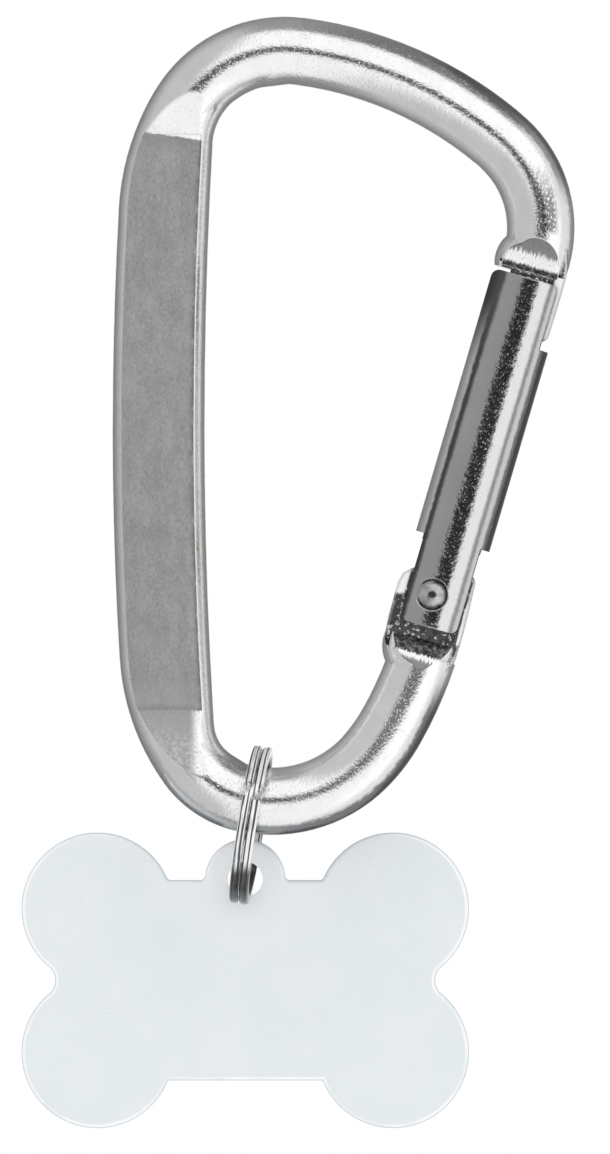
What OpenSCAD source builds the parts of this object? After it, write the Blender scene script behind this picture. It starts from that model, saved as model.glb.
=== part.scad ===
// Pet id tag: bone-shaped blank on a split ring, hung from a spring-gate carabiner.
// The origin is the hang point at the inner top of the carabiner, +Z up, front faces -Y.

/* [Carabiner] */
// Overall height of the carabiner
clip_len = 70; // [68:0.5:72]
// Rod diameter
rod_d = 5.8; // [5.6:0.1:5.9]
// Thickness of the pressed spine
spine_t = 4; // [3.6:0.1:4.6]
// Thickness of the pressed tongues
tongue_t = 3.8; // [3.6:0.1:3.8]

/* [Gate] */
// Outer diameter of the gate sleeve
gate_d = 6.56; // [6.5:0.02:6.7]
// Wall of the gate sleeve
gate_wall = 0.6; // [0.5:0.05:0.65]
// Width of the slots in the sleeve
slot_w = 4.25; // [4.2:0.05:4.4]
// Diameter of the hinge pin
pin_d = 1.9; // [1.6:0.1:2]

/* [Split ring] */
// Outer diameter of the ring
ring_d = 13.6; // [13.4:0.1:13.9]
// Radial thickness of the wire
wire_h = 0.95; // [0.85:0.05:1]
// Axial width of one turn
wire_w = 0.75; // [0.65:0.05:0.8]

/* [Tag] */
// Width of the bone
tag_w = 38.3; // [34:0.5:42]
// Thickness of the bone
tag_t = 1; // [0.9:0.05:1.1]
// Diameter of the hole
hole_d = 3; // [3:0.05:3.2]

/* [Hidden] */
$fn = 64;
lift_rate = 0.7;
slip = 0.05;
press_gap = 0.02;
coil_gap = 0.1;
lap = 0.2;
lap_step = 0.01;
wire_round = 0.25;
tag_round = 0.4;
inner_rod_d = 5.2;
rib_t = 5.14;
far = 40;

// Radius share of the clip length, and turn in degrees
up_shares = [
    [4.7905, 3.17], [0.27551, 27.84], [0.14272, 66.23],
    [0.46989, 32.42], [0.235, 3.01], [0.13962, 63.73]
];
down_shares = [
    [4.5788, 3.5], [0.24957, 32.09], [0.10806, 41.51],
    [0.15772, 61.7], [0.22923, 11.62], [0.47965, 11.1]
];
rib_up_shares = [[6.0508, 3.26], [0.11123, 79.74]];
rib_down_shares = [[5.831, 3.64], [0.0823, 54.36]];
spine_share = [-0.14853, -0.41734];
rib_share = [-0.11435, -0.4127];
sink_up_share = 0.05372;
sink_down_share = 0.03663;
press_up_shares = [-0.05983, -0.00488];
press_down_shares = [-0.7619, -0.84738];
press_edge_share = -0.0281;
pivot_share = [0.2, -0.621];
bar_share = [-0.01471, -0.87205];
nose_swell_share = [0.017, 0.36, 1.062];
heel_swell_share = [0.0966, -1.55, 1.1276];
tongue_right_shares = [[0.8, -2.25], [1.16, -1.85], [1.2, -1.55], [1.22, -1.03], [1.18, 0], [1.14, 0.6]];
tongue_left_shares = [
    [-1, 0.38], [-1.06, 0.1], [-1.065, -0.22], [-1.045, -1.02], [-1, -1.55], [-0.85, -1.85], [-0.6, -2.25]
];

lean = 16.4;
pivot = clip_len * pivot_share;
rod_r = rod_d / 2;
rib_r = inner_rod_d / 2;
gate_r = gate_d / 2;
bore_r = gate_r - gate_wall;
gate_off = 0.0061 * clip_len;
gate_top = 0.4036 * clip_len;
gate_foot = 0.0393 * clip_len;
nose_slot = 0.32308 * clip_len;
foot_slot = 0.0696 * clip_len;
ledge = 0.4079 * clip_len;
nose_end = 0.333 * clip_len;
shoulder = 0.4071 * clip_len;
nose_run = 0.0466 * clip_len;
heel = -0.075 * clip_len;
heel_run = 0.0159 * clip_len;
crest_r = 0.0857 * clip_len;
crest_drop = 0.0279 * clip_len;
corner_r = 0.0098 * clip_len;
half_edge = sqrt(pow(gate_r, 2) - pow(slot_w / 2, 2));
nose_left = sqrt(pow(bore_r, 2) - pow(tongue_t / 2, 2)) - 2 * slip;

pin_r = pin_d / 2;
head_r = 0.68 * pin_d;
head_h = 0.3 * pin_d;
seat_y = sqrt(pow(gate_r, 2) - pow(head_r + gate_off, 2)) + slip;
dimple_r = head_r * 0.24;

tip_r = 0.8;
cam_r = 2.2;
tongue_top = 2.5;
cam_turn = 57;
tip_u = cam_r + tip_r + press_gap;
cup_u = 4.35;
cup_h = 1;
boss_r = 1.5;
spring_r = 2;
spring_wire_r = 0.22;
spring_turns = 11;
stop_u = 17.4;
stop_h = 0.6;
stop_reach = 1.5;
spring_u = cup_u + cup_h + spring_wire_r + press_gap;
spring_len = stop_u - spring_wire_r - press_gap - spring_u;

ring_r = ring_d / 2;
ring_lean = 8.9;
ring_turn = -3;
hang_gap = 0.3;
hang_turn = 36.6;
jog_at = 243;
jog_half = 6;
end_half = 7.5;
coil_x = (wire_w + coil_gap) / 2;
// The ring hangs on the bar, and the tag on the ring: both are placed along the ring's own plane
ring_down = [-sin(ring_lean), 0, -cos(ring_lean)];
ring_front = [cos(ring_lean) * sin(ring_turn), -cos(ring_turn), -sin(ring_lean) * sin(ring_turn)];
ring_reach = ring_r - wire_h - rod_r - hang_gap;
bar_pos = [bar_share[0] * clip_len, 0, bar_share[1] * clip_len];
ring_pos = bar_pos + ring_reach * (cos(hang_turn) * ring_down + sin(hang_turn) * ring_front);
tag_turn = 41.6;
tag_pos = ring_pos + (ring_r - wire_h / 2) * (cos(tag_turn) * ring_down - sin(tag_turn) * ring_front);
jog_stops = [jog_at - jog_half - 2, jog_at - jog_half / 3, jog_at + jog_half / 3, jog_at + jog_half + 2];
jog_steps = [1, 1 / 2, -1 / 2, -1];

lobe_r = 0.16964 * tag_w;
lobe_shares = [[0.33036, -0.06563], [0.33036, -0.38683]];
tab_r = 0.08929 * tag_w;
top_edge = -0.00223 * tag_w;
low_edge = -0.44978 * tag_w;
waist_r = 0.04018 * tag_w;
small_r = 0.01339 * tag_w;

// Path arithmetic in the X and Z plane
function out(a) = [cos(a), sin(a)];
function path(p, a, rows, way, i = 0) = i == len(rows) ? [] :
    let (r = rows[i][0] * clip_len, b = a + way * rows[i][1], c = p - r * out(a))
    concat([[c, r, a, b]], path(c + r * out(b), b, rows, way, i + 1));
function path_end(rows) = let (s = rows[len(rows) - 1]) s[0] + s[1] * out(s[3]);
function path_turn(rows) = rows[len(rows) - 1][3];
function path_points(rows, steps) = [
    for (s = rows) for (i = [0 : steps - 1]) s[0] + s[1] * out(s[2] + (s[3] - s[2]) * i / steps)
];
function reversed(list) = [for (i = [len(list) - 1 : -1 : 0]) list[i]];

up_path = path(clip_len * spine_share, 180, up_shares, -1);
down_path = path(clip_len * spine_share, 180, down_shares, 1);
rib_up = path(clip_len * rib_share, 180, rib_up_shares, -1);
rib_down = path(clip_len * rib_share, 180, rib_down_shares, 1);
rib_up_end = path_end(rib_up);
rib_down_end = path_end(rib_down);
rib_up_tip = rib_up_end + sink_up_share * clip_len * out(path_turn(rib_up) - 90);
rib_down_tip = rib_down_end + sink_down_share * clip_len * out(path_turn(rib_down) + 90);

// Bends alternate: a thin one runs a little way into the full ones at both its ends
module bend(s, r, thin) {
    spread = thin ? lap / s[1] * 180 / PI : 0;
    translate([s[0][0], 0, s[0][1]])
        rotate([90, 0, 0])
            rotate([0, 0, min(s[2], s[3]) - spread])
                rotate_extrude(angle = abs(s[3] - s[2]) + spread * 2)
                    translate([s[1], 0])
                        circle(r = thin ? r - lap_step : r);
}

module run(p, a, length, r, thin) {
    translate([p[0], 0, p[1]])
        rotate([0, 90 - a, 0])
            translate([0, 0, thin ? -lap : 0])
                cylinder(r = thin ? r - lap_step : r, h = thin ? length + lap : length);
}

module in_gate() {
    translate([pivot[0], 0, pivot[1]])
        rotate([0, lean, 0])
            children();
}

// A wedge-ended slab that presses one side flat: z0 and z1 bound the flat, run0 and run1 the ramps
module press(half, z0, z1, run0, run1, x0, x1) {
    deep = rod_r + slip;
    translate([x0, 0, 0])
        rotate([90, 0, 90])
            linear_extrude(height = x1 - x0)
                polygon([
                    [half, z0], [half, z1], [deep, z1 + run1], [far, z1 + run1],
                    [far, z0 - run0], [deep, z0 - run0]
                ]);
}

// A die with a hollow shoulder: the flat runs from z0 to z1 and then curves out to the rod's skin
module nose_die(half, z0, z1, run) {
    rise = rod_r - half;
    r = (run * run + rise * rise) / (2 * rise);
    translate([-rod_d, 0, 0])
        rotate([90, 0, 90])
            linear_extrude(height = rod_d * 2) {
                translate([half, z0]) square([far, z1 - z0]);
                translate([half + r + press_gap, z1]) circle(r = r, $fn = 128);
            }
}

// A die with a straight ramp below z0, which ends in a low rounded crest
module heel_die(half, z0, z1, run) {
    low = z0 - crest_drop;
    translate([-rod_d, 0, 0])
        rotate([90, 0, 90])
            linear_extrude(height = rod_d * 2)
                difference() {
                    polygon([
                        [half, z1], [half, z0], [rod_r - slip, z0 - run],
                        [rod_r - slip, low], [far, low], [far, z1]
                    ]);
                    translate([rod_r - crest_r + lap_step, low]) circle(r = crest_r, $fn = 192);
                }
}

module both_sides() {
    children();
    mirror([0, 1, 0]) children();
}

// Fills the groove between the outer and the inner bends of the spine
module rib_fill() {
    outer_up = path_points([up_path[0], up_path[1], up_path[2]], 12);
    outer_down = path_points([down_path[0], down_path[1], down_path[2]], 12);
    outer_top = [for (p = outer_up) if (p[0] < rib_up_end[0] - rod_r) p];
    outer_low = [for (p = outer_down) if (p[0] < rib_down_end[0] - rod_r / 2) p];
    inner_top = concat(path_points(rib_up, 12), [rib_up_end]);
    inner_low = concat(path_points(rib_down, 12), [rib_down_end]);
    rotate([90, 0, 0])
        linear_extrude(height = rib_t, center = true)
            polygon(concat(outer_top, reversed(inner_top), inner_low, reversed(outer_low)));
}

// The rod spreads sideways where it is pressed
module swell(share, z, floor_z) {
    intersection() {
        translate([share[0] * rod_r, 0, z + share[1] * rod_r]) sphere(r = share[2] * rod_r, $fn = 96);
        translate([-rod_d, -rod_d, floor_z]) cube(rod_d * 2);
    }
}

// The nose tongue, in the gate's own frame
module nose_plate() {
    right = gate_off + rod_r * 1.01;
    rotate([90, 0, 0])
        linear_extrude(height = tongue_t, center = true) {
            polygon([
                [gate_off - rod_r * 0.8, ledge + rod_r], [gate_off - rod_r * 1.02, ledge + rod_r * 0.3],
                [gate_off - rod_r, ledge], [gate_off - nose_left, ledge],
                [gate_off - nose_left, nose_end + corner_r / 2],
                [gate_off - nose_left + corner_r / 2, nose_end],
                [right - corner_r, nose_end],
                [right, nose_end + corner_r],
                [gate_off + rod_r * 1.02, ledge - corner_r],
                [gate_off + rod_r * 1.01, ledge + rod_r * 0.3],
                [gate_off + rod_r * 0.8, ledge + rod_r]
            ]);
            translate([right - corner_r, nose_end + corner_r])
                circle(r = corner_r, $fn = 32);
        }
}

// The cam is offset inward by the tip, so the lift stays in step with the turn
function cam_point(a) = let (
        rate = lift_rate,
        r = cam_r + tip_r + rate * a * PI / 180,
        n = [-(r * sin(a) - rate * cos(a)), r * cos(a) + rate * sin(a)] / sqrt(r * r + rate * rate)
    ) r * [-sin(a), cos(a)] - tip_r * n;

module hinge_plate() {
    corner = [rod_r * 1.14 - corner_r, tongue_top - corner_r];
    rotate([90, 0, 0])
        linear_extrude(height = tongue_t, center = true) {
            polygon(concat(
                [for (p = tongue_right_shares) rod_r * p],
                [corner + [corner_r, 0], corner + [0, corner_r], [tip_r * 1.9, tongue_top], [tip_r / 3, cam_r - slip]],
                [for (i = [0 : 18]) cam_point(cam_turn * i / 18)],
                [for (p = tongue_left_shares) rod_r * p]
            ));
            translate(corner) circle(r = corner_r, $fn = 32);
        }
}

module carabiner_frame() color([0.75, 0.76, 0.78]) {
    top_end = path_end(up_path);
    difference() {
        union() {
            for (i = [0 : 5]) bend(up_path[i], rod_r, i % 2 == 0);
            for (i = [0 : 5]) bend(down_path[i], rod_r, i % 2 == 1);
            for (i = [0 : 1]) bend(rib_up[i], rib_r, i % 2 == 1);
            for (i = [0 : 1]) bend(rib_down[i], rib_r, i % 2 == 0);
            run(rib_up_end, path_turn(rib_up) - 90, sink_up_share * clip_len, rib_r, false);
            run(rib_down_end, path_turn(rib_down) + 90, sink_down_share * clip_len, rib_r, true);
            run(top_end, path_turn(up_path) - 90, rod_r * 0.4, rod_r, true);
            rib_fill();
            in_gate() nose_plate();
            in_gate() swell(nose_swell_share, ledge, ledge);
            in_gate() hinge_plate();
            in_gate() swell(heel_swell_share, 0, -rod_d * 1.5);
        }
        both_sides() {
            press(
                spine_t / 2, press_down_shares[0] * clip_len, press_up_shares[0] * clip_len,
                (press_down_shares[0] - press_down_shares[1]) * clip_len,
                (press_up_shares[1] - press_up_shares[0]) * clip_len,
                -far / 2, press_edge_share * clip_len
            );
            in_gate() nose_die(tongue_t / 2, nose_end - rod_r, shoulder, nose_run);
            in_gate() heel_die(tongue_t / 2, heel, cam_r + rod_r, heel_run);
        }
        in_gate() rotate([90, 0, 0]) cylinder(r = pin_r + slip, h = rod_d, center = true);
    }
}

module rounded_away(x, z, dx, dz) {
    translate([x, 0, z])
        rotate([90, 0, 0])
            linear_extrude(height = far, center = true)
                difference() {
                    translate([min(0, dx * corner_r * 2), min(0, dz * corner_r * 2)])
                        square(corner_r * 2);
                    circle(r = corner_r, $fn = 48);
                    translate([dx > 0 ? -corner_r * 3 : 0, -corner_r * 3])
                        square([corner_r * 3, corner_r * 6]);
                    translate([-corner_r * 3, dz > 0 ? -corner_r * 3 : 0])
                        square([corner_r * 6, corner_r * 3]);
                }
}

module gate_sleeve() color([0.62, 0.63, 0.66]) in_gate() translate([gate_off, 0, 0]) {
    difference() {
        translate([0, 0, -gate_foot]) cylinder(r = gate_r, h = gate_top + gate_foot, $fn = 96);
        translate([0, 0, -gate_foot - rod_r])
            cylinder(r = bore_r, h = gate_top + gate_foot + rod_d, $fn = 96);
        translate([0, -slot_w / 2, nose_slot]) cube([gate_d, slot_w, gate_d * 2]);
        translate([-gate_d, -slot_w / 2, foot_slot - gate_d * 2]) cube([gate_d * 2, slot_w, gate_d * 2]);
        rounded_away(half_edge - corner_r, gate_top - corner_r, 1, 1);
        rounded_away(-gate_r + corner_r, gate_top - corner_r, -1, 1);
        rounded_away(half_edge - corner_r, -gate_foot + corner_r, 1, -1);
        rounded_away(-half_edge + corner_r, -gate_foot + corner_r, -1, -1);
        translate([-gate_off, 0, 0]) rotate([90, 0, 0])
            cylinder(r = pin_r + press_gap, h = gate_d * 2, center = true);
        both_sides() translate([-gate_off, seat_y, 0]) rotate([-90, 0, 0])
            cylinder(r = head_r + slip, h = gate_d);
    }
    for (side = [-1, 1])
        translate([side * (bore_r - stop_reach / 2 + gate_wall / 3), 0, stop_u + stop_h / 2])
            cube([stop_reach, slot_w / 2, stop_h], center = true);
}

module hinge_rivet() color([0.55, 0.56, 0.6]) in_gate() {
    rotate([90, 0, 0]) cylinder(r = pin_r, h = seat_y * 2, center = true);
    both_sides() translate([0, seat_y, 0]) rotate([-90, 0, 0]) difference() {
        rotate_extrude() intersection() {
            translate([0, head_h - (pow(head_r, 2) + pow(head_h, 2)) / (2 * head_h)])
                circle(r = (pow(head_r, 2) + pow(head_h, 2)) / (2 * head_h), $fn = 96);
            square([head_r, head_h]);
        }
        translate([0, 0, head_h - dimple_r]) cylinder(r = dimple_r, h = head_h, $fn = 24);
    }
}

// Spring: rings of points along the coil, then one skin over them
spring_steps = 8 * spring_turns;
spring_rings = [
    for (i = [0 : spring_steps])
        let (a = 45 * i, z = spring_len * i / spring_steps)
        [for (k = [0 : 5]) let (b = 60 * k, r = spring_r + spring_wire_r * cos(b))
            [r * cos(a), r * sin(a), z + spring_wire_r * sin(b)]]
];
spring_points = [for (ring = spring_rings) for (p = ring) p];
spring_faces = concat(
    [[5, 4, 3, 2, 1, 0]],
    [for (i = [0 : spring_steps - 1]) for (k = [0 : 5])
        [i * 6 + k, i * 6 + (k + 1) % 6, i * 6 + 6 + (k + 1) % 6, i * 6 + 6 + k]],
    [[for (k = [0 : 5]) spring_steps * 6 + k]]
);
spring_least = min([
    for (i = [0 : spring_steps]) for (j = [i + 5 : 1 : min(spring_steps, i + 12)])
        for (p = spring_rings[i]) for (q = spring_rings[j]) norm(p - q)
]);
echo(spring_least_gap = spring_least);

module gate_spring() color([0.5, 0.5, 0.53]) in_gate() translate([gate_off, 0, spring_u])
    polyhedron(points = spring_points, faces = spring_faces, convexity = 12);

module spring_plunger() color([0.7, 0.6, 0.35]) in_gate() {
    translate([gate_off, 0, cup_u]) cylinder(r = bore_r - slip * 2, h = cup_h);
    translate([gate_off, 0, cup_u]) cylinder(r = boss_r, h = cup_h * 2);
    translate([-tip_r, -boss_r, tip_u]) cube([tip_r * 2, boss_r * 2, cup_u + cup_h / 2 - tip_u]);
    translate([0, 0, tip_u]) rotate([90, 0, 0]) cylinder(r = tip_r, h = boss_r * 2, center = true, $fn = 48);
}

module wire_section(x, less = 0) {
    high = wire_h - less * 2;
    wide = wire_w - less * 2;
    translate([ring_r - wire_h / 2, x]) {
        square([high, wide - wire_round * 2], center = true);
        square([high - wire_round * 2, wide], center = true);
        for (i = [-1, 1]) for (j = [-1, 1])
            translate([i * (high / 2 - wire_round), j * (wide / 2 - wire_round)])
                circle(r = wire_round, $fn = 32);
    }
}

module wire_slice(a, x) {
    rotate([0, 0, a]) rotate([90, 0, 0])
        linear_extrude(height = press_gap, center = true) wire_section(x, lap_step * 2);
}

module split_ring() color([0.82, 0.83, 0.85])
    translate(ring_pos) rotate([0, ring_lean, 0]) rotate([0, 0, ring_turn]) rotate([0, 90, 0]) {
        rotate([0, 0, jog_at + end_half])
            rotate_extrude(angle = 360 - end_half - jog_half, $fn = 256) wire_section(coil_x);
        rotate([0, 0, jog_at + jog_half])
            rotate_extrude(angle = 360 - end_half - jog_half, $fn = 256) wire_section(-coil_x);
        for (i = [0 : 2])
            hull() {
                wire_slice(jog_stops[i], jog_steps[i] * coil_x);
                wire_slice(jog_stops[i + 1], jog_steps[i + 1] * coil_x);
            }
    }

module edge_profile(from, to) {
    half = tag_t / 2;
    translate([from, -half]) square([to - from - tag_round, tag_t]);
    translate([from, -half + tag_round]) square([to - from, tag_t - tag_round * 2]);
    for (j = [-1, 1])
        translate([to - tag_round, j * (half - tag_round)]) circle(r = tag_round, $fn = 32);
}

module disc(x, z, r) {
    translate([x, 0, z]) rotate([90, 0, 0]) rotate_extrude($fn = 128) edge_profile(0, r);
}

// Inside corner of radius r about x, z, from angle a to b, with the rounded edge turned inward
module inside_edge(x, z, r, a, b) {
    translate([x, 0, z]) rotate([90, 0, 0]) rotate([0, 0, a])
        rotate_extrude(angle = b - a, $fn = 96)
            translate([r * 2 + tag_round * 2, 0]) mirror([1, 0]) edge_profile(0, r + tag_round * 2);
}

module straight_edge(x0, x1, z, way) {
    translate([x0, 0, z]) rotate([90, 0, 90]) linear_extrude(height = x1 - x0)
        mirror([0, way > 0 ? 0 : 1]) rotate([0, 0, 90]) translate([-tag_round * 3, 0]) edge_profile(0, tag_round * 3);
}

module bone_tag() color([0.88, 0.9, 0.92]) translate(tag_pos) {
    lobe_x = lobe_shares[0][0] * tag_w;
    lobe_z0 = lobe_shares[0][1] * tag_w;
    lobe_z1 = lobe_shares[1][1] * tag_w;
    mid_z = (lobe_z0 + lobe_z1) / 2;
    half_h = (lobe_z0 - lobe_z1) / 2;
    top_reach = sqrt(pow(lobe_r, 2) - pow(top_edge - lobe_z0, 2));
    low_reach = sqrt(pow(lobe_r, 2) - pow(low_edge - lobe_z1, 2));
    waist_x = lobe_x + sqrt(pow(lobe_r + waist_r - press_gap, 2) - pow(half_h, 2));
    waist_a = atan2(half_h, waist_x - lobe_x);
    nook_z = top_edge + small_r - press_gap;
    nook_x = lobe_x - sqrt(pow(lobe_r + small_r - press_gap, 2) - pow(nook_z - lobe_z0, 2));
    nook_a = atan2(nook_z - lobe_z0, lobe_x - nook_x);
    neck_x = sqrt(pow(tab_r + small_r - press_gap, 2) - pow(nook_z, 2));
    neck_a = atan2(nook_z, neck_x);
    difference() {
        union() {
            for (x = [-lobe_x, lobe_x]) for (z = [lobe_z0, lobe_z1]) disc(x, z, lobe_r);
            disc(0, 0, tab_r);
            translate([-lobe_x, -tag_t / 2, lobe_z1]) cube([lobe_x * 2, tag_t, half_h * 2]);
            translate([-lobe_x + top_reach * 0.8, -tag_t / 2, mid_z])
                cube([(lobe_x - top_reach * 0.8) * 2, tag_t, top_edge - tag_round * 2 - mid_z]);
            translate([-lobe_x + low_reach * 0.8, -tag_t / 2, low_edge + tag_round * 2])
                cube([(lobe_x - low_reach * 0.8) * 2, tag_t, mid_z - low_edge - tag_round * 2]);
            straight_edge(-lobe_x + top_reach * 0.8, lobe_x - top_reach * 0.8, top_edge, 1);
            straight_edge(-lobe_x + low_reach * 0.8, lobe_x - low_reach * 0.8, low_edge, -1);
            inside_edge(-waist_x, mid_z, waist_r, -waist_a, waist_a);
            inside_edge(waist_x, mid_z, waist_r, 180 - waist_a, 180 + waist_a);
            inside_edge(neck_x, nook_z, small_r, 180 + neck_a, 270);
            inside_edge(-neck_x, nook_z, small_r, 270, 360 - neck_a);
            inside_edge(-nook_x, nook_z, small_r, 180 + nook_a, 270);
            inside_edge(nook_x, nook_z, small_r, 270, 360 - nook_a);
        }
        rotate([90, 0, 0]) cylinder(r = hole_d / 2, h = tag_t * 3, center = true);
    }
}

carabiner_frame();
gate_sleeve();
hinge_rivet();
gate_spring();
spring_plunger();
split_ring();
bone_tag();
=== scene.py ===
import math

import bpy
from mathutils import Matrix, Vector


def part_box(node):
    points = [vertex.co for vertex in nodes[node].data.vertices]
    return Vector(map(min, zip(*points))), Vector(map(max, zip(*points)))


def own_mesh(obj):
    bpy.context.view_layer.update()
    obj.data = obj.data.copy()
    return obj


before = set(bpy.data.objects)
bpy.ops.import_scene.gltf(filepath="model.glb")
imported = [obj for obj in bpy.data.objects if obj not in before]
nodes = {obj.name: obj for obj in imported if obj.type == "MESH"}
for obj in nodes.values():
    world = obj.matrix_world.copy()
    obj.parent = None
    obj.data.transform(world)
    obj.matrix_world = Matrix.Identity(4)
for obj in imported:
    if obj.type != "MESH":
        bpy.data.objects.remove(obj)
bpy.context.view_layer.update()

scene = bpy.context.scene

# Places and directions of the part, in metres
HINGE = (0.014, 0.0, -0.04347)
UP_GATE = (0.28234, 0.0, 0.95931)
ACROSS_GATE = (0.95931, 0.0, -0.28234)
RING_AXIS = (0.986606, -0.052336, -0.154498)
ABOVE_TAG_HOLE = (-0.002, 0.0, -0.0665)
TAG_WAIST_HEIGHT = -0.0765

# The pressed flat lies left of its side and between its top and its foot, and the ramp below it fades
# at both ends. The bends have their middles here, as x and z.
SPINE_SIDE, SPINE_TOP, SPINE_FOOT = -0.004, -0.0035, -0.0545
RAMP_HEIGHTS = (-0.0605, -0.0592, -0.0531, -0.0527)
LOW_BEND, TOP_BEND = (0.0044, -0.0473), (0.0053, -0.0149)

# The middle and the half length of each tongue's flat, measured along the gate from the hinge, and
# how far the flats reach to both sides
HINGE_TONGUE, NOSE_TONGUE, TONGUE_REACH = (0.0, 0.0046), (0.0246, 0.0044), 0.0055


class Tree:
    """Short names for adding and joining shader nodes."""

    def __init__(self, tree):
        self.tree = tree

    def add(self, kind, inputs=None, **settings):
        node = self.tree.nodes.new(kind)
        for key, value in settings.items():
            setattr(node, key, value)
        for key, value in (inputs or {}).items():
            self.put(node.inputs[key], value)
        return node

    def put(self, socket, value):
        if hasattr(value, "is_linked"):
            self.tree.links.new(value, socket)
        else:
            socket.default_value = value

    # Numbers

    def math(self, op, a, b=0.0, c=0.0):
        return self.add("ShaderNodeMath", {0: a, 1: b, 2: c}, operation=op).outputs[0]

    def times(self, *values):
        product = values[0]
        for value in values[1:]:
            product = self.math("MULTIPLY", product, value)
        return product

    def most(self, *values):
        top = values[0]
        for value in values[1:]:
            top = self.math("MAXIMUM", top, value)
        return top

    def add_times(self, a, b, c):
        """a + b * c"""
        return self.math("MULTIPLY_ADD", b, c, a)

    def without(self, mask):
        return self.math("SUBTRACT", 1.0, mask)

    def hypotenuse(self, a, b):
        return self.math("SQRT", self.math("ADD", self.times(a, a), self.times(b, b)))

    def smooth(self, value, low, high, to_low=0.0, to_high=1.0):
        """A soft ramp from to_low at low to to_high at high. Low may be the larger of the two."""
        node = self.add(
            "ShaderNodeMapRange",
            {"Value": value, "From Min": low, "From Max": high, "To Min": to_low, "To Max": to_high},
            interpolation_type="SMOOTHSTEP",
        )
        return node.outputs["Result"]

    def band(self, value, start, full, fade, end):
        """1 from full to fade, and 0 below start and above end."""
        return self.times(self.smooth(value, start, full), self.smooth(value, end, fade))

    def mix(self, factor, a, b):
        inputs = {"Factor": factor, "A": a, "B": b}
        return self.add("ShaderNodeMix", inputs, data_type="FLOAT").outputs[0]

    # Vectors

    def split(self, vector):
        return self.add("ShaderNodeSeparateXYZ", {0: vector}).outputs

    def join(self, x=0.0, y=0.0, z=0.0):
        return self.add("ShaderNodeCombineXYZ", {0: x, 1: y, 2: z}).outputs[0]

    def vector(self, op, a, b=(0.0, 0.0, 0.0)):
        return self.add("ShaderNodeVectorMath", {0: a, 1: b}, operation=op).outputs["Vector"]

    def along(self, point, direction):
        node = self.add("ShaderNodeVectorMath", {0: point, 1: direction}, operation="DOT_PRODUCT")
        return node.outputs["Value"]

    def distance(self, point, place):
        node = self.add("ShaderNodeVectorMath", {0: point, 1: place}, operation="DISTANCE")
        return node.outputs["Value"]

    def mix_vector(self, factor, a, b):
        return self.add("ShaderNodeMix", {0: factor, 4: a, 5: b}, data_type="VECTOR").outputs[1]

    # Colours and patterns

    def mix_colour(self, factor, a, b):
        return self.add("ShaderNodeMix", {0: factor, 6: a, 7: b}, data_type="RGBA").outputs[2]

    def paint(self, colour, *layers):
        """Lays colours over each other, each where its mask is 1."""
        for mask, tone in layers:
            colour = self.mix_colour(mask, colour, tone)
        return colour

    def noise(self, coordinates, scale, detail=2.0, rough=0.5):
        node = self.add(
            "ShaderNodeTexNoise",
            {"Vector": coordinates, "Scale": scale, "Detail": detail, "Roughness": rough},
        )
        return node.outputs[0]

    def wobble(self, coordinates, scale, height, detail=3.0, rough=0.6):
        """Noise about 0, to make an edge uneven."""
        return self.times(self.math("SUBTRACT", self.noise(coordinates, scale, detail, rough), 0.5), height)

    def stretched(self, point, down):
        """The point with its height made less, which makes a pattern longer upwards."""
        return self.add("ShaderNodeMapping", {"Vector": point, "Scale": (1.0, 1.0, down)}).outputs[0]

    # Surfaces

    def place(self):
        """The point in the piece's own axes."""
        return self.add("ShaderNodeTexCoord").outputs["Object"]

    def object_normal(self):
        """The normal in the piece's own axes, so that the paint stays put when the piece moves."""
        return self.add("ShaderNodeTexCoord").outputs["Normal"]

    def bump(self, height, distance, normal):
        inputs = {"Height": height, "Distance": distance, "Normal": normal}
        return self.add("ShaderNodeBump", inputs).outputs[0]

    def rounded(self, radius):
        return self.add("ShaderNodeBevel", {"Radius": radius}, samples=4).outputs[0]

    def rim(self, rounded, start=0.985, end=0.93):
        """1 near an edge, where the rounded normal leaves the surface's own one."""
        own = self.add("ShaderNodeNewGeometry").outputs["Normal"]
        return self.smooth(self.along(rounded, own), start, end)

    def open_air(self, distance, low=0.15, high=0.75):
        """0 in a crevice and 1 in the open."""
        node = self.add("ShaderNodeAmbientOcclusion", {"Distance": distance}, samples=6)
        return self.smooth(node.outputs["AO"], low, high)


def grey(v):
    return (v, v, v * 1.005, 1.0)


def material(name):
    m = bpy.data.materials.new(name)
    m.use_nodes = True
    m.node_tree.nodes.clear()
    t = Tree(m.node_tree)
    shader = t.add("ShaderNodeBsdfPrincipled")
    t.add("ShaderNodeOutputMaterial", {"Surface": shader.outputs[0]})
    return m, t, shader


# Round pieces of polished metal

# Painted reflection bands across the gate's sleeve, from its left edge at -1 to its right edge at 1:
# where each begins, where it is full, and its tone as a share of the sleeve's own
SLEEVE_REFLECTIONS = (
    (-0.6, -0.7, 0.2), (-0.75, -0.82, 1.7), (0.12, 0.3, 1.35), (0.48, 0.56, 0.66),
    (0.6, 0.68, 1.45), (0.74, 0.8, 0.5), (0.9, 1.0, 0.85),
)
# The left flank darkens between these heights, towards the sleeve's upper end
SLEEVE_SHADE = (-0.0245, -0.0175)


def sleeve_reflections(t, point, grain, tone, colour, across):
    """Painted reflections along the sleeve, as lighter and darker bands by which way it faces. Also gives the
    place across it, from -1 to 1.
    """
    side = t.math("ADD", t.wobble(point, grain * 0.7, 0.07), t.along(t.object_normal(), across))
    for start, full, share in SLEEVE_REFLECTIONS:
        colour = t.mix_colour(t.smooth(side, start, full), colour, grey(tone * share))
    shade = t.times(t.smooth(t.split(point)[2], *SLEEVE_SHADE), t.smooth(side, -0.55, -0.72))
    return t.mix_colour(shade, colour, grey(tone * 0.25)), side


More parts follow.
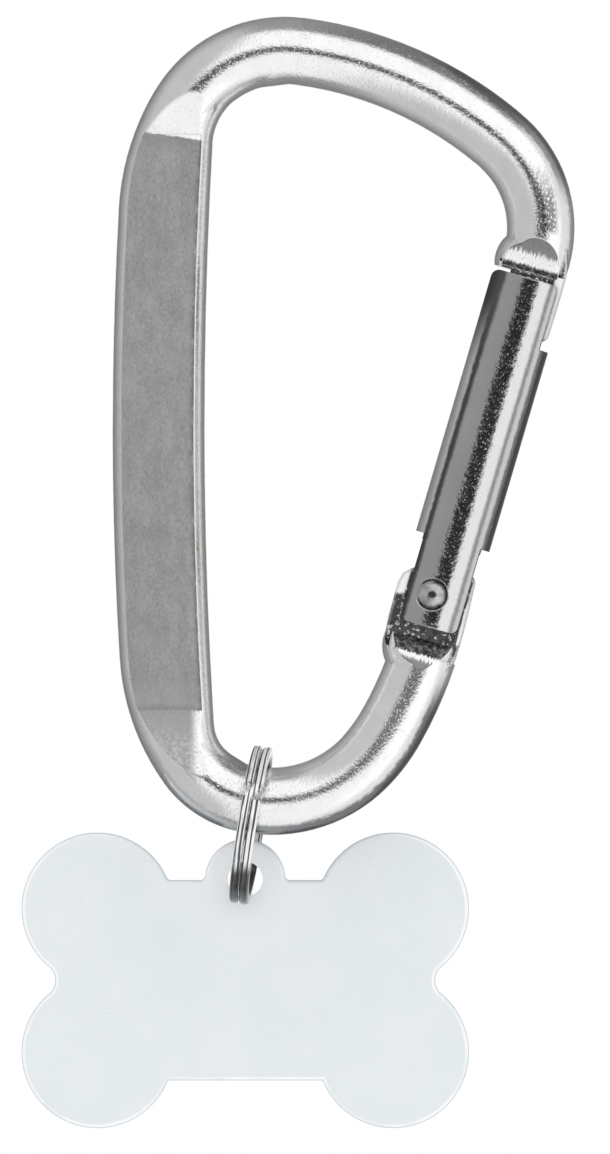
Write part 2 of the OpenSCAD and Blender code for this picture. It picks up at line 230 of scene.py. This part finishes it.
def dimple_shade(t, point, uneven, middle):
    """1 in the painted shade of the small dimple in the rivet's head."""
    spot = t.split(point)
    wide = t.times(t.math("SUBTRACT", spot[0], middle[0]), 0.75)
    tall = t.math("SUBTRACT", spot[2], middle[2])
    off = t.add_times(t.hypotenuse(wide, tall), uneven, 0.0003)
    return t.smooth(off, 0.00058, 0.0003)


def polished(name, tone, rough, grain, depth, edge, pit_depth=0.0, grazing=0.35, crevice=0.0007,
             bands=None, blotches=(0.1, 0.05), mark=None, tint=None):
    """Tumbled and polished metal: an uneven grain, small pits, painted shade in crevices and painted
    highlights on edges.

    Bands is the direction across a sleeve, for its painted reflections, and mark the middle of the
    rivet's dimple, which gets painted shade. Blotches are the slow changes in tone: how fine they are,
    as a part of the grain, and how strong.
    """
    m, t, s = material(name)
    point = t.place()
    fine = t.noise(point, grain, 2.0, 0.55)
    broad = t.noise(point, grain * blotches[0], 3.0, 0.5)
    pits = t.smooth(t.noise(point, grain * 2.3, 1.0, 0.5), 0.64, 0.78)
    round_off = t.rounded(edge)
    sheen = t.mix(t.smooth(fine, 0.3, 0.7), rough * 0.7, rough * 1.3)
    colour = t.mix_colour(t.smooth(broad, 0.35, 0.65), grey(tone * (1.0 - blotches[1])), grey(tone))
    # Painted highlight on the edges
    colour = t.mix_colour(t.rim(round_off), colour, grey(min(0.92, tone * 1.5)))
    if bands:
        # Painted reflections across the sleeve, by which way its surface faces
        colour, side = sleeve_reflections(t, point, grain, tone, colour, bands)
        sheen = t.mix(t.smooth(side, -0.3, -0.6), sheen, rough + 0.22)
    if mark:
        # Painted shade in the rivet's dimple
        colour = t.mix_colour(dimple_shade(t, point, broad, mark), colour, grey(0.08))
    if tint:
        tinted = t.add("ShaderNodeMix", {0: 1.0, 6: colour, 7: tint}, data_type="RGBA", blend_type="MULTIPLY")
        colour = tinted.outputs[2]
    # Painted shade darkens the crevices
    colour = t.mix_colour(t.open_air(crevice), grey(tone * 0.08), colour)
    t.put(s.inputs["Base Color"], colour)
    s.inputs["Metallic"].default_value = 1.0
    s.inputs["Specular Tint"].default_value = grey(grazing)
    t.put(s.inputs["Roughness"], sheen)
    normal = t.bump(fine, depth, round_off)
    if pit_depth:
        normal = t.bump(pits, pit_depth, normal)
    t.put(s.inputs["Normal"], normal)
    return m


# The clip's rod

class ClipPoint:
    """Where a point of the clip lies and which way it faces.

    High and over are its place from the hinge, along the gate and across it. Comb is a short
    uneven fringe across the gate, which makes the edges of the painted shade and highlights ragged.
    """

    def __init__(self, t):
        self.at = t.place()
        spot = t.split(self.at)
        self.x, self.z = spot[0], spot[2]
        surface = t.add("ShaderNodeNewGeometry").outputs
        self.normal, true_normal = surface["Normal"], surface["True Normal"]
        self.facing = t.math("ABSOLUTE", t.split(true_normal)[1])
        self.flat = t.smooth(self.facing, 0.9975, 0.9995)
        from_hinge = t.vector("SUBTRACT", self.at, HINGE)
        self.high, self.over = t.along(from_hinge, UP_GATE), t.along(from_hinge, ACROSS_GATE)
        self.slope, self.side = t.along(self.normal, UP_GATE), t.along(self.normal, ACROSS_GATE)
        self.plane = t.along(true_normal, UP_GATE)
        self.comb = t.wobble(t.join(t.times(self.over, 6500.0), t.times(self.high, 500.0)), 1.0, 0.3, 2.0)
        self.fringed = t.add_times(self.high, self.comb, 0.0018)
        self.by_gate = t.smooth(self.x, -0.002, 0.0)


def spine_masks(t, p):
    """The pressed flat, the ramp below it, the painted highlight on the flat above a slanted border, and
    the satin that goes on past the top of the flat, up to that border."""
    beside = t.times(t.math("LESS_THAN", p.x, SPINE_SIDE), t.math("LESS_THAN", p.z, SPINE_TOP))
    spine = t.times(p.flat, beside, t.math("GREATER_THAN", p.z, SPINE_FOOT))
    ramp = t.times(t.smooth(p.facing, 0.945, 0.965), t.smooth(p.x, -0.0059, -0.0068))
    ramp = t.times(ramp, t.band(p.z, *RAMP_HEIGHTS))
    border = t.add_times(p.z, t.noise(p.at, 2600.0, 3.0, 0.65), 0.0005)
    border = t.math("ADD", border, t.math("MULTIPLY_ADD", p.x, 0.147, 0.00129))
    flat_highlight = t.times(spine, t.smooth(border, -0.00405, -0.0039), t.smooth(p.z, -0.0065, -0.006))
    slant = t.times(t.smooth(border, -0.0039, -0.0041), t.smooth(p.z, -0.0047, -0.0045))
    slant = t.times(slant, t.smooth(p.facing, 0.7, 0.8), t.math("LESS_THAN", p.x, -0.0055))
    return spine, ramp, flat_highlight, t.times(slant, t.without(spine))


def tongue_masks(t, p):
    """The flats of both tongues, and the painted highlights on the parts of them that stand clear of the
    sleeve.
    """
    at_hinge = t.math("COMPARE", p.high, *HINGE_TONGUE)
    at_nose = t.math("COMPARE", p.high, *NOSE_TONGUE)
    near = t.math("COMPARE", p.over, 0.0, TONGUE_REACH)
    tongue = t.times(p.flat, t.most(at_hinge, at_nose), near)
    ear = t.times(t.smooth(p.over, -0.0022, -0.0024), t.smooth(p.fringed, -0.0008, -0.0005))
    strip = t.smooth(t.add_times(p.over, p.comb, 0.002), 0.0030, 0.0032)
    tip = t.times(t.smooth(p.over, 0.0024, 0.0026), t.math("GREATER_THAN", p.high, 0.015))
    tongue_highlights = t.times(p.by_gate, t.most(ear, strip, tip), tongue, t.smooth(p.fringed, -0.0037, -0.0034))
    return tongue, tongue_highlights


def hollow_shade_masks(t, p):
    """Painted shade in the hollow at the nose and on the crest at the hinge, and mottled painted
    shade above the nose."""
    nose = t.smooth(t.math("SUBTRACT", p.comb, p.slope), 0.27, 0.34)
    nose = t.times(nose, t.band(p.high, 0.0287, 0.029, 0.0323, 0.0326))
    nose = t.times(nose, t.smooth(t.math("ABSOLUTE", p.side), 0.5, 0.36))
    crest = t.smooth(t.add_times(p.high, p.comb, 0.003), -0.0055, -0.0058)
    crest = t.times(crest, t.smooth(p.plane, 0.08, 0.12), t.smooth(p.high, -0.0072, -0.0069))
    crest = t.times(crest, t.smooth(p.facing, 0.85, 0.9))
    shade_patch = t.smooth(t.add_times(p.high, p.comb, 0.012), 0.0385, 0.0345)
    shade_patch = t.times(shade_patch, t.smooth(p.high, 0.0322, 0.0328), t.band(p.side, 0.0, 0.12, 0.35, 0.55))
    return t.most(nose, crest), t.times(shade_patch, t.math("GREATER_THAN", p.x, 0.012))


def step_shade_masks(t, p):
    """Painted shade in the lines between each tongue and its bend, and where the faces there look forward."""
    seen = t.times(t.smooth(p.facing, 0.7, 0.8), t.smooth(t.math("ABSOLUTE", p.over), 0.0031, 0.0028))
    lip = t.times(t.smooth(p.fringed, 0.0294, 0.0291), t.smooth(p.high, 0.0279, 0.0281))
    toe = t.times(t.smooth(p.fringed, -0.0053, -0.0051), t.smooth(p.high, -0.0035, -0.0038))
    return t.times(seen, p.by_gate, t.most(lip, toe)), seen


def outward(t, p, bend):
    """How far the surface turns away from a bend's middle: 1 on its outer side."""
    arm = t.join(t.math("SUBTRACT", p.x, bend[0]), 0.0, t.math("SUBTRACT", p.z, bend[1]))
    return t.along(t.vector("NORMALIZE", arm), p.normal)


def bend_shade_masks(t, p):
    """Painted shade on the outer flanks of the lower bend and of the upper one above the gate."""
    uneven = t.wobble(p.at, 1900.0, 0.16)
    low, top = outward(t, p, LOW_BEND), outward(t, p, TOP_BEND)
    under_shade = t.times(t.smooth(t.math("ADD", low, uneven), 0.64, 0.76), t.smooth(low, 0.995, 0.975))
    under_shade = t.times(under_shade, t.smooth(p.z, -0.0495, -0.054), t.smooth(p.x, -0.014, 0.006, 0.08, 0.9))
    narrow = t.smooth(p.x, 0.0205, 0.0125, 0.0, 0.17)
    brow_shade = t.smooth(t.math("SUBTRACT", t.math("ADD", top, uneven), narrow), 0.64, 0.76)
    brow_shade = t.times(brow_shade, t.smooth(top, 0.995, 0.97))
    brow_shade = t.times(brow_shade, t.smooth(p.x, 0.012, 0.017), t.smooth(p.z, -0.0105, -0.007))
    return under_shade, brow_shade


def spine_satin(t, p, cloud, speckle):
    """The pressed flat: cloudy and speckled, darker towards its top and lighter towards its foot, with a
    broken line of painted shade along its inner edge.
    """
    # Painted shade: a broken dark line along the inner edge of the flat
    painted_edge_shade_and_highlight = t.times(t.rim(t.rounded(0.0008), 0.9998, 0.996), t.smooth(p.x, -0.0085, -0.0075))
    painted_edge_shade_and_highlight = t.times(painted_edge_shade_and_highlight, t.smooth(t.noise(t.stretched(p.at, 0.3), 3000.0, 2.0, 0.6), 0.38, 0.5))
    return t.paint(
        t.mix_colour(t.smooth(cloud, 0.32, 0.68), grey(0.47), grey(0.54)),
        (t.times(t.smooth(speckle, 0.54, 0.72), 0.55), grey(0.34)),
        (t.times(t.smooth(speckle, 0.44, 0.28), 0.5), grey(0.66)),
        (t.times(t.smooth(p.z, -0.0062, -0.0045), 0.3), grey(0.36)),
        (t.times(t.smooth(p.z, -0.0495, -0.0532), 0.55), grey(0.58)),
        (t.times(painted_edge_shade_and_highlight, 0.8), grey(0.12)),
    )


def ramp_grit(t, p, speckle):
    """The lower ramp: fine at the flat, and coarser and brighter towards the bend."""
    upper = t.mix_colour(t.smooth(speckle, 0.35, 0.7), grey(0.48), grey(0.42))
    lower = t.mix_colour(t.smooth(t.noise(p.at, 3000.0, 2.0, 0.6), 0.38, 0.62), grey(0.66), grey(0.48))
    return t.mix_colour(t.smooth(p.z, -0.0534, -0.0572), upper, lower)


def clip_metal(name):
    """The clip's rod: polished all round, satin on the pressed spine and pitted on both tongues."""
    m, t, s = material(name)
    p = ClipPoint(t)
    fine = t.noise(p.at, 4200.0, 2.0, 0.55)
    broad = t.noise(p.at, 420.0, 3.0, 0.5)
    pits = t.smooth(t.noise(p.at, 6500.0, 1.0, 0.5), 0.62, 0.74)
    dents = t.smooth(t.noise(p.at, 3400.0, 1.0, 0.5), 0.62, 0.74)
    cloud = t.noise(t.stretched(p.at, 0.45), 900.0, 5.0, 0.65)
    speckle = t.noise(t.stretched(p.at, 0.6), 6800.0, 1.0, 0.5)
    round_off = t.rounded(0.0004)
    spine, ramp, flat_highlight, slant = spine_masks(t, p)
    tongue, tongue_highlights = tongue_masks(t, p)
    pressed, shade_patch = hollow_shade_masks(t, p)
    step_shade, seen = step_shade_masks(t, p)
    under_shade, brow_shade = bend_shade_masks(t, p)
    # Pale is a painted highlight: white and not metal, with a darker line at its edges
    dull, pale = t.most(spine, ramp), t.most(tongue_highlights, flat_highlight)

    face = t.mix_colour(t.smooth(t.noise(p.at, 1500.0, 3.0, 0.6), 0.4, 0.6), grey(0.55), grey(0.85))
    step_shade_tone = t.mix_colour(t.smooth(t.noise(p.at, 2600.0, 3.0, 0.7), 0.42, 0.66), grey(0.035), grey(0.22))
    colour = t.paint(
        t.mix_colour(t.smooth(broad, 0.35, 0.65), grey(0.9), grey(0.94)),
        (spine, spine_satin(t, p, cloud, speckle)),
        (ramp, ramp_grit(t, p, speckle)),
        (slant, grey(0.4)),
        # Mottled painted shade above the nose, and painted shade in the hollow and on the crest
        (t.times(shade_patch, t.smooth(speckle, 0.72, 0.5)), grey(0.24)),
        (pressed, grey(0.26)),
        # Painted shade on the outer flanks of both bends
        (t.times(brow_shade, 0.85), grey(0.27)),
        (under_shade, grey(0.14)),
        (tongue, face),
        # Painted shade at the steps between the tongues and their bends
        (t.times(step_shade, t.without(tongue)), step_shade_tone),
        # Painted highlights, white with a darker line at their edges
        (pale, t.mix_colour(t.rim(round_off, 0.998, 0.985), grey(0.96), grey(0.5))),
    )
    # Painted shade darkens the crevices, but not the shallow crease at the foot of the spine
    foot = t.times(t.smooth(p.z, -0.052, -0.053), t.math("LESS_THAN", p.x, SPINE_SIDE))
    colour = t.mix_colour(t.most(t.open_air(0.0007, 0.35, 0.9), foot), grey(0.04), colour)
    t.put(s.inputs["Base Color"], colour)

    haze = t.times(t.smooth(p.z, -0.046, -0.054), t.smooth(p.x, -0.002, 0.004))
    bright = t.mix(t.most(dull, tongue), t.mix(haze, 0.93, 0.86), 1.0)
    t.put(s.inputs["Metallic"], t.times(bright, t.without(pale)))
    s.inputs["Specular Tint"].default_value = grey(0.7)
    polish = t.mix(tongue, t.mix(t.smooth(fine, 0.3, 0.7), 0.07, 0.13), 0.15)
    t.put(s.inputs["Roughness"], t.mix(dull, polish, t.mix(cloud, 0.36, 0.46)))

    normal = t.mix_vector(t.most(dull, t.times(seen, step_shade)), round_off, p.normal)
    normal = t.bump(fine, t.mix(dull, t.mix(tongue, 1.8e-5, 0.8e-5), 1.0e-5), normal)
    normal = t.bump(pits, t.mix(dull, t.mix(tongue, 1.0e-5, 0.0), 0.0), normal)
    t.put(s.inputs["Normal"], t.bump(dents, t.times(tongue, 1.8e-5), normal))
    return m


# The split ring

def ring_wire(name):
    """Bright plated wire with painted dark reflection lines running round the ring, and painted shade between
    the coils and at its bottom in the tag's hole.
    """
    m, t, s = material(name)
    low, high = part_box("split_ring")
    middle = (Vector(low) + Vector(high)) / 2
    axis = Vector(RING_AXIS).normalized()
    one = Vector((0.0, 1.0, 0.0))
    one = (one - axis * one.dot(axis)).normalized()
    two = axis.cross(one)
    point = t.vector("SUBTRACT", t.place(), tuple(middle))
    a, b, c = (t.along(point, tuple(way)) for way in (axis, one, two))
    turn = t.math("ARCTAN2", b, c)
    reach = t.hypotenuse(b, c)
    lines = t.join(t.times(a, 6500.0), t.times(turn, 1.6), t.times(reach, 6500.0))
    streak = t.noise(lines, 1.0, 2.0, 0.55)

    # Painted dark reflection lines, one about each 0.4 mm across the wire, with more painted dark streaks
    # between them
    phase = t.math("FRACT", t.add_times(t.times(a, 2500.0), streak, 0.35))
    reflection_seam = t.smooth(t.math("ABSOLUTE", t.math("SUBTRACT", phase, 0.5)), 0.2, 0.11)
    reflection_lines = t.most(t.smooth(t.noise(lines, 0.7, 1.0, 0.5), 0.6, 0.64), reflection_seam)
    height = t.split(t.place())[2]
    # Painted shade where the ring's bottom lies in the tag's hole
    hole_shade = t.smooth(t.add_times(height, streak, 0.0012), -0.0655, -0.0668)
    colour = t.paint(grey(0.97), (t.times(reflection_lines, 0.95), grey(0.03)), (t.times(hole_shade, 0.95), grey(0.03)))
    # Painted shade between the coils
    t.put(s.inputs["Base Color"], t.mix_colour(t.open_air(0.0005, 0.15, 0.8), grey(0.03), colour))
    s.inputs["Metallic"].default_value = 0.3
    t.put(s.inputs["Roughness"], t.mix(streak, 0.03, 0.08))
    t.put(s.inputs["Normal"], t.bump(streak, 9.0e-5, t.rounded(0.00018)))
    return m


# The tag

def satin_tag(name):
    """Pale satin blank with an uneven painted highlight on its rounded rim and a thin cool line outside it.
    """
    m, t, s = material(name)
    point = t.place()
    spot = t.split(point)
    fine = t.noise(point, 5200.0, 3.0, 0.65)
    broad = t.noise(point, 260.0, 3.0, 0.5)
    patches = t.smooth(t.noise(point, 170.0, 2.0, 0.5), 0.5, 0.62, 0.35, 1.6)
    # Painted light around the hole, which lifts the shade of the clip and ring there
    hole_light = t.smooth(t.distance(point, ABOVE_TAG_HOLE), 0.0105, 0.0025)
    face = t.paint(
        t.mix_colour(t.smooth(broad, 0.3, 0.7), (0.8, 0.845, 0.87, 1.0), (0.825, 0.862, 0.885, 1.0)),
        (t.times(t.smooth(fine, 0.5, 0.72), patches), (0.87, 0.895, 0.915, 1.0)),
        (t.times(t.smooth(fine, 0.46, 0.26), 0.8), (0.74, 0.795, 0.825, 1.0)),
        (t.times(hole_light, 0.75), (0.94, 0.97, 0.985, 1.0)),
    )

    # The depth is 0 in the middle of the blank and 1 on both of its faces. The solid has a groove
    # up to 0.04 mm deep inside each waist, which isn't a rim and gets the face's colour.
    low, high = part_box("bone_tag")
    depth = t.math("SUBTRACT", spot[1], (low[1] + high[1]) / 2)
    depth = t.math("DIVIDE", t.math("ABSOLUTE", depth), (high[1] - low[1]) / 2)
    across = t.math("ABSOLUTE", t.math("SUBTRACT", spot[0], (low[0] + high[0]) / 2))
    groove = t.times(
        t.math("COMPARE", spot[2], TAG_WAIST_HEIGHT, 0.0005),
        t.math("COMPARE", across, 0.0133, 0.0009),
        t.math("GREATER_THAN", depth, 0.8),
    )
    on_face = t.most(t.smooth(depth, 0.992, 0.998), groove)
    facing = t.most(t.math("ABSOLUTE", t.split(t.object_normal())[1]), on_face)
    # Painted highlight on the rounded rim, made uneven by this noise
    painted_edge_shade_and_highlight = t.smooth(t.noise(point, 150.0, 2.0, 0.5), 0.42, 0.56, 0.3, 1.0)
    colour = t.paint(
        face,
        (t.times(t.smooth(facing, 0.99, 0.95), painted_edge_shade_and_highlight), (0.96, 0.97, 0.98, 1.0)),
        (t.smooth(facing, 0.62, 0.4), (0.44, 0.59, 0.68, 1.0)),
    )
    t.put(s.inputs["Base Color"], colour)
    s.inputs["Metallic"].default_value = 0.1
    s.inputs["Specular IOR Level"].default_value = 0.2
    t.put(s.inputs["Roughness"], t.mix(fine, 0.5, 0.62))
    surface = t.add("ShaderNodeNewGeometry").outputs
    normal = t.mix_vector(on_face, surface["Normal"], surface["True Normal"])
    t.put(s.inputs["Normal"], t.bump(fine, 6.0e-6, normal))
    return m


# Each piece's material slot, and what makes its material
finish_of = {
    "carabiner_frame": ("frame_metal", clip_metal, {}),
    "gate_sleeve": ("gate_metal", polished, {
        "tone": 0.5, "rough": 0.11, "grain": 2500.0, "depth": 2.6e-5, "edge": 0.0002,
        "pit_depth": 0.8e-5, "grazing": 0.6, "crevice": 0.0003, "bands": ACROSS_GATE,
    }),
    "hinge_rivet": ("rivet_metal", polished, {
        "tone": 0.6, "rough": 0.36, "grain": 1600.0, "depth": 9.0e-5, "edge": 0.00015,
        "crevice": 0.0001, "blotches": (0.8, 0.4), "mark": HINGE,
    }),
    "gate_spring": ("spring_metal", polished, {
        "tone": 0.45, "rough": 0.3, "grain": 5000.0, "depth": 1.0e-5, "edge": 0.0001,
    }),
    "spring_plunger": ("plunger_metal", polished, {
        "tone": 0.72, "rough": 0.3, "grain": 5000.0, "depth": 1.0e-5, "edge": 0.0001,
        "tint": (1.0, 0.833, 0.5, 1.0),
    }),
    "split_ring": ("ring_metal", ring_wire, {}),
    "bone_tag": ("tag_metal", satin_tag, {}),
}
for name, (slot, look, settings) in finish_of.items():
    piece = nodes[name]
    piece.data.materials.clear()
    piece.data.materials.append(look(slot, **settings))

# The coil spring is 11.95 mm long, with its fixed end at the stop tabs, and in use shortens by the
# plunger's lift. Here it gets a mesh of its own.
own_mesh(nodes["gate_spring"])

# Studio: plain white light all round. Only reflections show a white backdrop behind, grey walls,
# and in front a white tent with a small dark opening. What they see has these strengths; where
# there are two, the first is at the lower or the rear end.
BACKDROP, OPENING, CLOTH = 1.0, 0.035, (0.96, 1.05)
UPPER_CORNER, RIGHT_FRONT = 0.13, 1.15
LEFT_WALL, RIGHT_WALL = (0.22, 0.52), (0.24, 0.78)
WALLS_HIGH, WALLS_LOW = 0.27, 0.22
world = bpy.data.worlds.new("studio")
scene.world = world
world.use_nodes = True
world.node_tree.nodes.clear()
w = Tree(world.node_tree)
way = w.split(w.add("ShaderNodeTexCoord").outputs["Generated"])
dx, dy, dz = way[0], way[1], way[2]
front = w.times(dy, -1.0)

walls = w.smooth(dz, -0.1, -0.6, WALLS_HIGH, WALLS_LOW)
walls = w.mix(w.times(w.smooth(dx, 0.08, 0.28), w.smooth(dz, 0.25, 0.6)), walls, UPPER_CORNER)
cloth = w.smooth(dz, -0.3, 0.2, *CLOTH)
tent = w.mix(w.smooth(w.add_times(front, dz, -0.14), 0.03, 0.32), walls, cloth)
left_wall = w.smooth(front, -0.9, 0.1, *LEFT_WALL)
tent = w.mix(w.smooth(dx, -0.13, -0.4), tent, left_wall)
right_wall = w.mix(w.smooth(front, 0.26, 0.42), w.smooth(front, -0.6, -0.3, *RIGHT_WALL), RIGHT_FRONT)
tent = w.mix(w.times(w.smooth(dx, 0.22, 0.6), w.smooth(dz, 0.85, 0.55)), tent, right_wall)

wide = w.math("DIVIDE", w.math("SUBTRACT", dx, 0.06), 0.42)
tall = w.math("DIVIDE", w.math("SUBTRACT", w.add_times(dz, dx, 0.29), 0.05), 0.17)
opening = w.times(w.smooth(w.hypotenuse(wide, tall), 1.15, 0.85), w.math("GREATER_THAN", front, 0.0))
tent = w.mix(opening, tent, OPENING)
mirrored = w.mix(w.smooth(dy, 0.95, 0.98), tent, BACKDROP)
light = w.mix(w.add("ShaderNodeLightPath").outputs["Is Glossy Ray"], 1.0, mirrored)
background = w.add("ShaderNodeBackground", {"Color": (1.0, 1.0, 1.0, 1.0), "Strength": light})
w.add("ShaderNodeOutputWorld", {"Surface": background.outputs[0]})

# A plain pale floor well below the hanging clip. It fades out at its rim and is clear from underneath.
FLOOR_RADIUS, FLOOR_SIDES = 0.24, 96
FLOOR_PLACE = (0.0, -0.04, -0.9)
corners = [math.tau * i / FLOOR_SIDES for i in range(FLOOR_SIDES)]
floor_mesh = bpy.data.meshes.new("floor")
floor_mesh.from_pydata(
    [(FLOOR_RADIUS * math.cos(a), FLOOR_RADIUS * math.sin(a), 0.0) for a in corners],
    [],
    [list(range(FLOOR_SIDES))],
)
floor = bpy.data.objects.new("floor", floor_mesh)
floor.location = FLOOR_PLACE
scene.collection.objects.link(floor)
floor_look = bpy.data.materials.new("floor")
floor_look.use_nodes = True
floor_look.node_tree.nodes.clear()
g = Tree(floor_look.node_tree)
spot = g.place()
mottle = g.mix_colour(g.noise(spot, 40.0, 3.0, 0.5), grey(0.9), grey(0.93))
paper = g.add("ShaderNodeBsdfDiffuse", {"Color": mottle})
underneath = g.add("ShaderNodeNewGeometry").outputs["Backfacing"]
away = g.distance(spot, (0.0, 0.0, 0.0))
fade = g.most(underneath, g.smooth(away, FLOOR_RADIUS * 0.6, FLOOR_RADIUS * 0.97))
clear = g.add("ShaderNodeBsdfTransparent")
sheet = g.add("ShaderNodeMixShader", {0: fade, 1: paper.outputs[0], 2: clear.outputs[0]})
g.add("ShaderNodeOutputMaterial", {"Surface": sheet.outputs[0]})
floor_mesh.materials.append(floor_look)

# Camera: the photograph is 610 by 1154 pixels, the clip is 819 of them high and 70 mm long,
# and the hang point is at pixel 268, 86
PHOTO_WIDTH, PHOTO_HEIGHT = 610.0, 1154.0
PIXEL = 0.07 / 819.0
HANG_X, HANG_Y = 268.0, 86.0
DISTANCE = 1.4
SENSOR = 24.0
look_at = Vector(((PHOTO_WIDTH / 2 - HANG_X) * PIXEL, 0.0, (HANG_Y - PHOTO_HEIGHT / 2) * PIXEL))
lens = bpy.data.cameras.new("camera")
camera = bpy.data.objects.new("camera", lens)
scene.collection.objects.link(camera)
camera.location = look_at + Vector((0.0, -DISTANCE, 0.0))
camera.rotation_euler = (math.radians(90.0), 0.0, 0.0)
lens.sensor_fit = "VERTICAL"
lens.sensor_height = SENSOR
lens.lens = SENSOR * DISTANCE / (PHOTO_HEIGHT * PIXEL)
lens.clip_start = 0.01
lens.clip_end = 20.0
scene.camera = camera
scene.view_settings.view_transform = "Standard"
